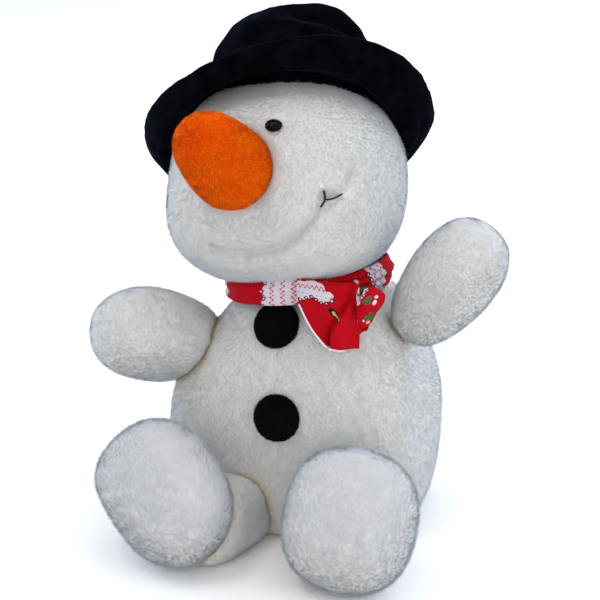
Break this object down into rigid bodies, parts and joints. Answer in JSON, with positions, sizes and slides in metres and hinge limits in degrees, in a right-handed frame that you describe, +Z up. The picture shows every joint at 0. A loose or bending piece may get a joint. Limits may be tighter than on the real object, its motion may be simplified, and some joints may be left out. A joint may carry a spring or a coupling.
{
  "type": "plush snowman",
  "caption": "Sitting stuffed snowman toy of white pile with an orange cone nose, a soft black hat, a red print scarf, black felt buttons and one raised arm.",
  "frame": {"origin": "middle of the base of the whole toy, on the surface it sits on", "axes": "+Z up, -Y the way the toy looks, +X its left hand side"},
  "size_m": [0.218, 0.2158, 0.2666],
  "materials": {
    "white_pile": "short brushed white pile, very soft",
    "long_pile": "fluffier cool white pile",
    "orange_pile": "short dense orange pile",
    "hat_cloth": "black velveteen with a faint blue sheen",
    "scarf_cotton": "thin woven red cotton with a white and black print",
    "button_felt": "thick black felt",
    "eye_bead": "polished black bead",
    "dark_thread": "dark sewing thread"
  },
  "bodies": {
    "root": {"head": "white_pile", "torso": "white_pile", "arm_right": "white_pile", "arm_left": "white_pile", "leg_right": "white_pile", "leg_left": "white_pile", "foot_right": "long_pile", "foot_left": "long_pile", "nose": "orange_pile", "hat_crown": "hat_cloth", "hat_brim": "hat_cloth", "scarf_band": "scarf_cotton", "scarf_knot": "scarf_cotton", "scarf_tail_long": "scarf_cotton", "scarf_tail_short": "scarf_cotton", "button_upper": "button_felt", "button_lower": "button_felt", "eye_right": "eye_bead", "eye_left": "eye_bead", "mouth_stitch_right": "dark_thread", "mouth_stitch_left": "dark_thread"}
  },
  "joints": []
}
